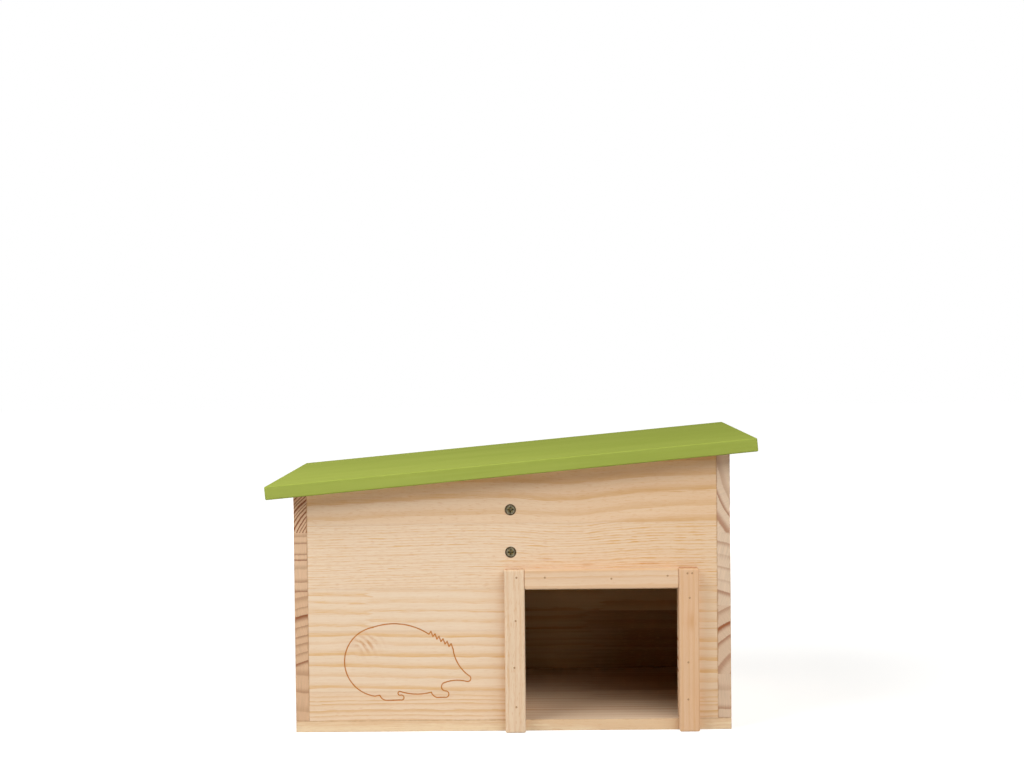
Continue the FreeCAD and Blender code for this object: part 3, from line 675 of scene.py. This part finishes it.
dress(pineMaterial("pineLeftPost", leftPost), "entrance_left_post")
dress(pineMaterial("pineRightPost", rightPost), "entrance_right_post")
dress(pineMaterial("pineLintel", lintel), "entrance_lintel")
print("pine boards dressed")


# Roof board: matt paint over the same pine, whose rings and fibres just show through. The length shade is painted
# light and shade, the paint lighter at its low end and darker at its high end, and bare is the wood of the underside
roofPaint = {
    "colour": srgb(162, 173, 79), "shade": srgb(147, 160, 67), "bright": srgb(174, 186, 95),
    "smoothest": 0.70, "roughest": 0.83, "specular": 0.0, "bump": 0.7, "slope": math.atan2(roofRise, houseWidth),
    "lengthShade": {"reach": 0.22, "lowEnd": (1.05, 1.04, 1.12, 1.0), "highEnd": (0.965, 0.97, 0.98, 1.0)},
    "rings": {"Pith Across": 0.05, "Pith Depth": 0.31, "Ring Width": 0.0052, "Wave": 0.006, "Seed": 14.0},
    "relief": {"late": 0.00003, "brush": 0.00004, "dustAndTopShade": 0.00002},  # metres
    "blotchStretch": (6.0, 22.0, 22.0), "brushStretch": (9.0, 420.0, 420.0), "runStretch": (85.0, 85.0, 1.0),
    "blotchShade": (0.0, 0.55), "ringShade": 0.30, "brushBright": (0.35, 0.7, 0.0, 0.20), "speckScale": 700.0,
    "arrisFrom": 0.0002, "arrisTo": 0.0016, "arrisShade": 0.45, "patchScale": 120.0, "patchReach": (-0.0006, 0.001),
    "runFrom": 0.0002, "runTo": 0.0018, "runReach": (-0.0034, -0.0006),
    "bare": {"seed": 11.0, "span": (-0.172, 0.150), "staves": randomStaves(21, -0.172, 0.150)},
}


def paintMaterial(name, paint):
    material, bench = startMaterial(name)
    texture = bench.add("TexCoord").outputs
    turned = bench.add("VectorRotate", {"Vector": texture["Object"], "Angle": paint["slope"]},
                       rotation_type="Y_AXIS").outputs[0]
    along, across, height = bench.split(turned)[:3]
    rings = bench.group(ringGroup, {"Place": turned, **paint["rings"]})
    blotch = bench.noise(bench.vector("MULTIPLY", turned, paint["blotchStretch"]), 1.0, 3.0)["Fac"]
    brush = bench.noise(bench.vector("MULTIPLY", turned, paint["brushStretch"]), 1.0, 3.0)["Fac"]
    colour = bench.mix(bench.fromNoise(blotch, *paint["blotchShade"]), paint["colour"], paint["shade"])
    colour = bench.mix(bench.times(rings["Late Wood"], paint["ringShade"]), colour, paint["shade"])
    colour = bench.mix(bench.rescale(brush, *paint["brushBright"]), colour, paint["bright"])
    # painted light and shade along the roof: lighter at its low end, darker at its high end
    lengthShade = paint["lengthShade"]
    lengthShaded = bench.mix(bench.ease(along, -lengthShade["reach"], lengthShade["reach"]), lengthShade["lowEnd"], lengthShade["highEnd"])
    colour = bench.mix(1.0, colour, lengthShaded, "MULTIPLY")
    middle, halfSize = paint["middle"], paint["halfSize"]
    arris = bench.group(arrisGroup, {"Place": turned, "Middle": middle, "Half Size": halfSize})
    patchy = bench.noise(turned, paint["patchScale"], 3.0)["Fac"]
    edge = bench.calc("ADD", arris["Distance"], bench.fromNoise(patchy, *paint["patchReach"]))
    # painted shade: the arris is darkened against the highlight its rounding catches
    shaded = bench.ease(edge, paint["arrisFrom"], paint["arrisTo"], paint["arrisShade"], 0.0)
    colour = bench.mix(shaded, colour, paint["shade"])
    # the underside is bare but for the paint that ran over its edges
    run = bench.noise(bench.vector("MULTIPLY", turned, paint["runStretch"]), 1.0, 4.0, 0.65)["Fac"]
    run = bench.calc("ADD", arris["Distance"], bench.fromNoise(run, *paint["runReach"]))
    below = bench.ease(bench.split(texture["Normal"])[2], *downFacing, 1.0, 0.0)
    bare = bench.times(below, bench.ease(run, paint["runFrom"], paint["runTo"]))
    depth = bench.calc("SUBTRACT", height, middle[2] - halfSize[2])
    face = pineFace(bench, paint["bare"], along, across, depth, 0.0)[0]
    colour = bench.mix(bare, colour, face)
    raised = paint["relief"]
    relief = bench.calc("MULTIPLY_ADD", rings["Late Wood"], raised["late"],
                        bench.times(brush, raised["brush"]))
    specks = bench.noise(turned, paint["speckScale"], 2.0)["Fac"]
    relief = bench.calc("ADD", relief, bench.times(specks, raised["dustAndTopShade"]))
    roughness = bench.fromNoise(brush, paint["smoothest"], paint["roughest"])
    finishSurface(bench, colour, roughness, relief, paint["bump"], {"Specular IOR Level": paint["specular"]})
    return material


def turnedBox(node, slope):
    # the node's box in the roof's own level frame
    turn = Matrix.Rotation(slope, 3, "Y")
    points = [turn @ vertex.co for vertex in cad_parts[node].data.vertices]
    low = [min(point[axis] for point in points) for axis in range(3)]
    high = [max(point[axis] for point in points) for axis in range(3)]
    return [(a + b) / 2 for a, b in zip(low, high)], [(b - a) / 2 for a, b in zip(low, high)]


roofPaint["middle"], roofPaint["halfSize"] = turnedBox("roof_board", roofPaint["slope"])
print("roof in its own frame:", roofPaint["middle"], roofPaint["halfSize"])
dress(paintMaterial("paintedRoof", roofPaint), "roof_board")


# Metals: screws of dull yellow zinc with a darker rim and painted shade and glints in the cross recess, brown brads,
# bright zinc hinges
screwZinc = {"colour": srgb(128, 121, 100), "tarnish": srgb(72, 66, 48), "roughness": 0.36, "scale": 620.0,
             "metallic": 1.0, "rim": srgb(66, 46, 28), "socketShade": srgb(52, 38, 20), "glint": srgb(176, 150, 74),
             "rimFrom": 0.70, "rimTo": 0.94, "rimStrength": 0.95, "socketFrom": 0.34, "socketTo": 0.52,
             "socketStrength": 0.85}  # from and to are shares of the head's radius
bradSteel = {"colour": srgb(196, 156, 118), "tarnish": srgb(168, 126, 92), "roughness": 0.5, "scale": 1500.0,
             "metallic": 0.6}
hingeSteel = {"colour": srgb(160, 162, 162), "tarnish": srgb(142, 143, 140), "roughness": 0.38, "scale": 420.0,
              "metallic": 1.0}


metalGrain = {"mottleRange": (0.38, 0.68), "crossRange": (0.50, 0.60), "edgeReach": (-0.08, 0.08), "finer": 6,
              "polish": -0.08, "dullness": 0.12, "relief": 0.00001, "bump": 0.6}
headSearch = {"skin": 0.0002, "spacing": 0.012}  # a head's outermost layer, and the least way to the next head
wallScrewHead, frontScrewHead = 0.0035, 0.005  # radii of the heads


def headCentres(node, axis, outward):
    # middles of the screw heads, found where the node's points lie furthest outward
    points = [vertex.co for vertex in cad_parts[node].data.vertices]
    edge = max(point[axis] * outward for point in points)
    flat = [point for point in points if point[axis] * outward > edge - headSearch["skin"]]
    centres = []
    for point in flat:
        near = [group for group in centres if (group[0] - point).length < headSearch["spacing"]]
        if near:
            near[0].append(point)
        else:
            centres.append([point])
    middles = []
    for group in centres:
        low = Vector([min(point[side] for point in group) for side in range(3)])
        high = Vector([max(point[side] for point in group) for side in range(3)])
        middles.append((low + high) / 2)
    return middles


def metalMaterial(name, metal, heads=(), radius=wallScrewHead):
    material, bench = startMaterial(name)
    place = bench.add("TexCoord").outputs["Object"]
    mottle = bench.noise(place, metal["scale"], 3.0, 0.6)["Fac"]
    fine = bench.noise(place, metal["scale"] * metalGrain["finer"], 2.0)["Fac"]
    colour = bench.mix(bench.ease(mottle, *metalGrain["mottleRange"]), metal["colour"], metal["tarnish"])
    away = None
    for head in heads:
        distance = bench.vector("DISTANCE", place, tuple(head))
        away = distance if away is None else bench.calc("MINIMUM", away, distance)
    if away is not None:
        edge = bench.calc("ADD", bench.calc("DIVIDE", away, radius), bench.fromNoise(mottle, *metalGrain["edgeReach"]))
        colour = bench.mix(bench.ease(edge, metal["rimFrom"], metal["rimTo"], 0.0, metal["rimStrength"]), colour,
                           metal["rim"])
        # painted shade in the cross recess, with painted glints
        cross = bench.mix(bench.ease(fine, *metalGrain["crossRange"]), metal["socketShade"], metal["glint"])
        socketShade = bench.ease(edge, metal["socketFrom"], metal["socketTo"], metal["socketStrength"], 0.0)
        colour = bench.mix(socketShade, colour, cross)
    roughness = bench.fromNoise(fine, metal["roughness"] + metalGrain["polish"],
                                metal["roughness"] + metalGrain["dullness"])
    relief = bench.times(fine, metalGrain["relief"])
    finishSurface(bench, colour, roughness, relief, metalGrain["bump"], {"Metallic": metal["metallic"]})
    return material


screwSets = (("left_wall_screws", 0, -1, wallScrewHead), ("right_wall_screws", 0, 1, wallScrewHead),
             ("floor_screws", 2, -1, wallScrewHead), ("partition_floor_screws", 2, -1, wallScrewHead),
             ("partition_front_screws", 1, -1, frontScrewHead))  # node, axis and way its heads face, head radius
for node, axis, outward, radius in screwSets:
    heads = headCentres(node, axis, outward)
    print(node, "heads:", len(heads))
    dress(metalMaterial("screwZinc_" + node, screwZinc, heads, radius), node)
dress(metalMaterial("bradSteel", bradSteel), "left_post_brads", "right_post_brads", "lintel_brads")
hingeNodes = [side + "_hinge_" + part for side in ("left", "right")
              for part in ("wall_leaf", "roof_leaf", "pin", "wall_screws", "roof_screws")]
dress(metalMaterial("hingeSteel", hingeSteel), *hingeNodes)
print("paint and metals dressed")


# Pale floor, white towards the distance for the eye only
studio = {"floorColour": srgb(205, 205, 203), "floorGrain": srgb(198, 198, 196), "floorSize": 14.0, "lift": 0.62,
          "clearFrom": 0.7, "clearTo": 2.4, "grainScale": 300.0, "grainShare": 0.05}


def seenPlain(bench):
    # 1 where the eye, a reflection or a clear piece looks straight at the studio
    path = bench.add("LightPath").outputs
    mirrored = bench.calc("ADD", path["Is Glossy Ray"], path["Is Transmission Ray"])
    return bench.calc("ADD", path["Is Camera Ray"], mirrored, clamp=True)


def makeFloor(studio):
    half = studio["floorSize"] / 2
    mesh = bpy.data.meshes.new("studioFloor")
    mesh.from_pydata([(-half, -half, 0), (half, -half, 0), (half, half, 0), (-half, half, 0)], [], [(0, 1, 2, 3)])
    floor = bpy.data.objects.new("studioFloor", mesh)
    bpy.context.scene.collection.objects.link(floor)
    material, bench = startMaterial("studioFloor")
    place = bench.add("TexCoord").outputs["Object"]
    away = bench.vector("LENGTH", place)
    eye = seenPlain(bench)
    lift = bench.ease(away, studio["clearFrom"], studio["clearTo"], studio["lift"], 1.0)
    grainy = bench.noise(place, studio["grainScale"], 2.0)["Fac"]
    colour = bench.mix(bench.times(grainy, studio["grainShare"]), studio["floorColour"], studio["floorGrain"])
    diffuse = bench.add("BsdfDiffuse", {"Color": colour})
    glow = bench.add("Emission", {"Color": (1, 1, 1, 1), "Strength": bench.times(lift, eye)})
    total = bench.add("AddShader", {0: diffuse.outputs[0], 1: glow.outputs[0]})
    bench.add("OutputMaterial", {0: total.outputs[0]})
    mesh.materials.append(material)


makeFloor(studio)

# Soft light from high on the left and from the right front, some on the back, and a dim room
lampAim = (0.0, 0.0, 0.13)
lamps = [
    {"name": "keyLamp", "azimuth": -57.0, "elevation": 47.0, "distance": 1.6, "width": 1.1, "height": 1.0,
     "power": 21.2},
    {"name": "fillLamp", "azimuth": 36.0, "elevation": 36.0, "distance": 2.0, "width": 2.0, "height": 0.8,
     "power": 26.0},
    {"name": "backLamp", "azimuth": 170.0, "elevation": 8.0, "distance": 2.0, "width": 1.6, "height": 0.5,
     "power": 20.0},
]
room = {"light": 0.045, "tint": (1.0, 0.92, 0.76, 1.0), "eye": 1.0}


def makeLamp(lamp):
    azimuth, elevation = math.radians(lamp["azimuth"]), math.radians(lamp["elevation"])
    away = Vector((math.sin(azimuth) * math.cos(elevation), -math.cos(azimuth) * math.cos(elevation),
                   math.sin(elevation)))
    data = bpy.data.lights.new(lamp["name"], "AREA")
    data.shape = "RECTANGLE"
    data.size = lamp["width"]
    data.size_y = lamp["height"]
    data.energy = lamp["power"]
    made = bpy.data.objects.new(lamp["name"], data)
    made.location = Vector(lampAim) + away * lamp["distance"]
    made.rotation_euler = away.to_track_quat("Z", "Y").to_euler()
    bpy.context.scene.collection.objects.link(made)


for lamp in lamps:
    makeLamp(lamp)


def makeWorld(room):
    world = bpy.data.worlds.new("studioRoom")
    world.use_nodes = True
    world.node_tree.nodes.clear()
    bench = ShaderBench(world.node_tree)
    eye = seenPlain(bench)
    strength = bench.rescale(eye, 0.0, 1.0, room["light"], room["eye"])
    tint = bench.mix(eye, room["tint"], (1, 1, 1, 1))
    background = bench.add("Background", {"Color": tint, "Strength": strength})
    bench.add("OutputWorld", {0: background.outputs[0]})
    bpy.context.scene.world = world


makeWorld(room)

# Camera, solved from the photograph's corners
camera = {"place": (0.021816, -1.745120, 0.355397), "yaw": 0.01243, "pitch": -0.02762, "roll": 0.01048,
          "focal": 1813.28, "pictureWidth": 1024.0, "sensor": 36.0, "nearest": 0.05, "farthest": 60.0}


def makeCamera(camera):
    data = bpy.data.cameras.new("photoCamera")
    data.sensor_width = camera["sensor"]
    data.lens = camera["focal"] * camera["sensor"] / camera["pictureWidth"]
    data.clip_start = camera["nearest"]
    data.clip_end = camera["farthest"]
    made = bpy.data.objects.new("photoCamera", data)
    turn = Matrix.Rotation(camera["yaw"], 3, "Z") @ Matrix.Rotation(camera["pitch"], 3, "X")
    turn = turn @ Matrix.Rotation(camera["roll"], 3, "Y") @ Matrix.Rotation(math.pi / 2, 3, "X")
    made.matrix_world = Matrix.Translation(camera["place"]) @ turn.to_4x4()
    bpy.context.scene.collection.objects.link(made)
    bpy.context.scene.camera = made


makeCamera(camera)
bpy.context.scene.view_settings.view_transform = "Standard"
print("studio ready")
